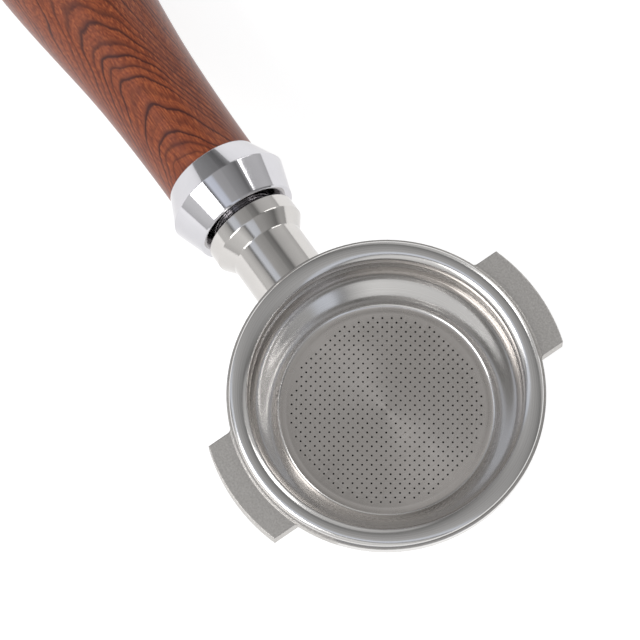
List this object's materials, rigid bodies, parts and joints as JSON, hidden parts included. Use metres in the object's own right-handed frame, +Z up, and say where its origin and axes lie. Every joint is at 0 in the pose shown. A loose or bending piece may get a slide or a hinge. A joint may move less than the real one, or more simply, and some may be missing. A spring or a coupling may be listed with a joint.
{
  "type": "portafilter",
  "caption": "Espresso portafilter with a perforated filter basket, side bayonet lugs, a double spout and a sloping turned wooden handle.",
  "frame": {"origin": "centre of the basket's mouth, in the plane of its lip, where the machine's gasket seats", "axes": "+Z up along the basket's axis, +X along the handle as seen from above, +Y towards one bayonet lug"},
  "size_m": [0.2188, 0.079, 0.0662],
  "materials": {
    "plated_casting": "polished plating, matte on the lugs",
    "basket_steel": "spun stainless steel with a polished lip",
    "spring_steel": "drawn spring wire",
    "plated_ferrule": "mirror plating",
    "handle_wood": "lacquered red-brown hardwood",
    "insert_brass": "turned brass",
    "stud_steel": "threaded rod",
    "gasket_rubber": "soft black rubber",
    "plated_spout": "polished plating"
  },
  "bodies": {
    "holder": {"portafilter_body": "plated_casting", "basket_spring": "spring_steel", "handle_ferrule": "plated_ferrule", "wooden_handle": "handle_wood", "handle_insert": "insert_brass", "handle_stud": "stud_steel", "spout_gasket": "gasket_rubber", "double_spout": "plated_spout"},
    "basket": {"filter_basket": "basket_steel"}
  },
  "joints": [
    {"name": "basket_lift", "type": "slide", "parent": "holder", "child": "basket", "axis": [0, 0, 1], "range_m": [0, 0.03]}
  ]
}
